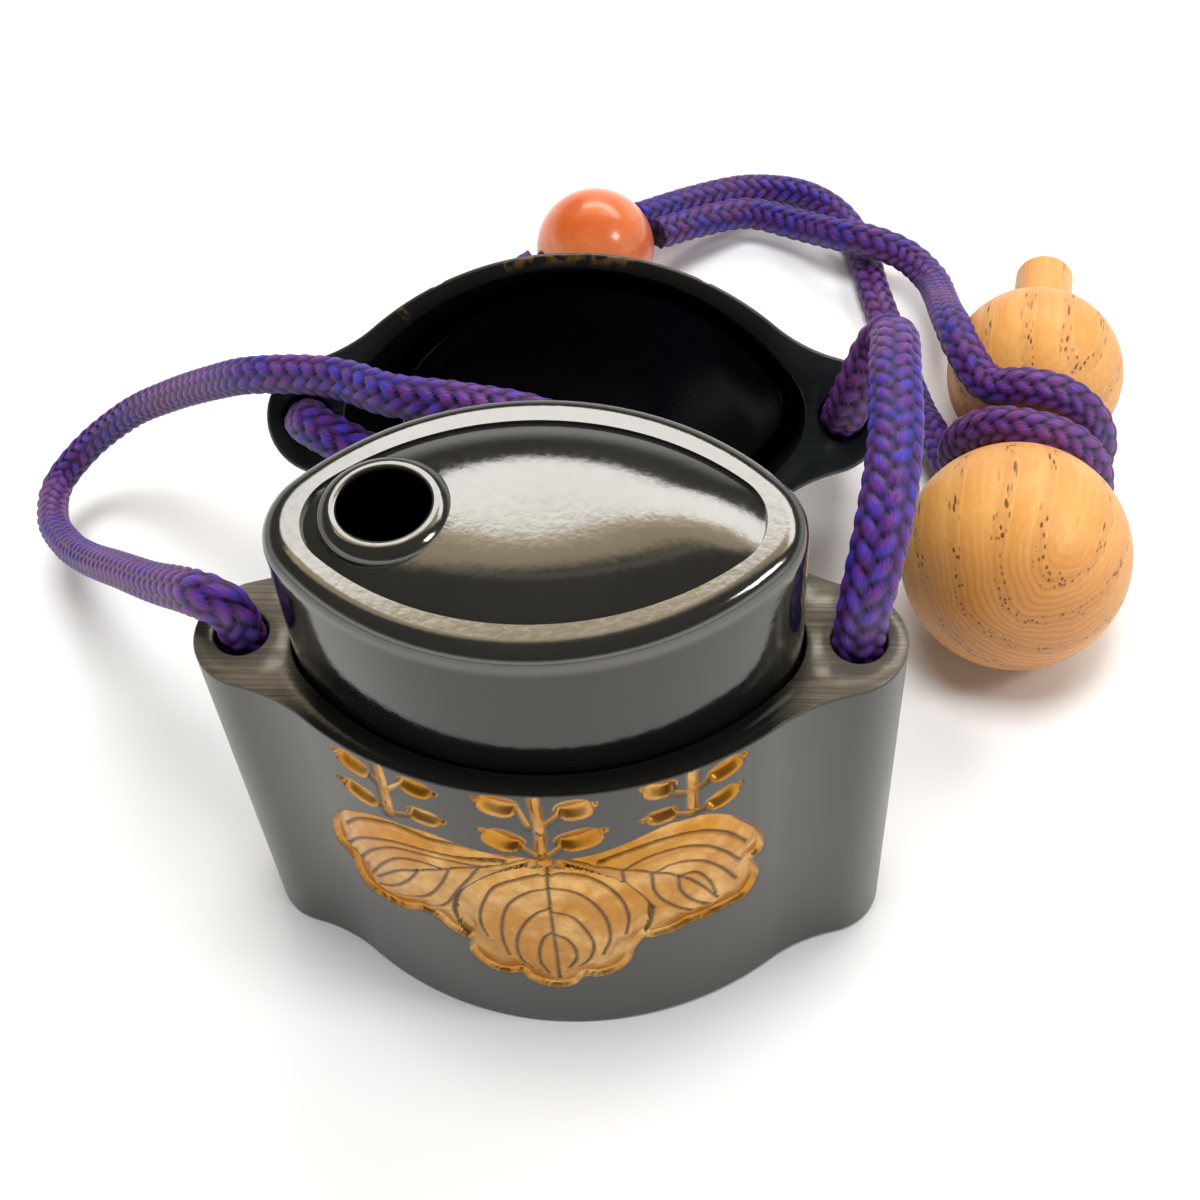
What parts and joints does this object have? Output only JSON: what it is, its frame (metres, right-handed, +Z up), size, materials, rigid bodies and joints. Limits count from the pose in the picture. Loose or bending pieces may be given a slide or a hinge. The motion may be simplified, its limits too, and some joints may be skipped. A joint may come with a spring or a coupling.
{
  "type": "inro case",
  "caption": "Black lacquered inro of lens plan with a gold paulownia crest, its flask showing, lid laid back, purple braided cord, coral bead and gourd-shaped wooden toggle.",
  "frame": {"origin": "centre of the lower case's flat underside, which stands on the ground", "axes": "+X along the width of the case, -Y towards the carved front, +Z up"},
  "size_m": [0.1468, 0.1422, 0.0702],
  "materials": {
    "case_lacquer": "polished black lacquer with worn gold on the carved crest",
    "flask_lacquer": "mirror-polished black lacquer, finely scratched on the domed top",
    "lid_lacquer": "polished black lacquer, matt inside",
    "boxwood": "satin, fine pores along the grain",
    "coral": "polished stone or coral, faint mottling",
    "silk_cord": "tubular braid with a blue sheen"
  },
  "bodies": {
    "root": {"case": "case_lacquer", "flask": "flask_lacquer", "lid": "lid_lacquer", "gourd_toggle": "boxwood", "bead": "coral", "cord": "silk_cord", "cord_low_strand": "silk_cord", "cord_high_strand": "silk_cord", "cord_wrap": "silk_cord"}
  },
  "joints": []
}
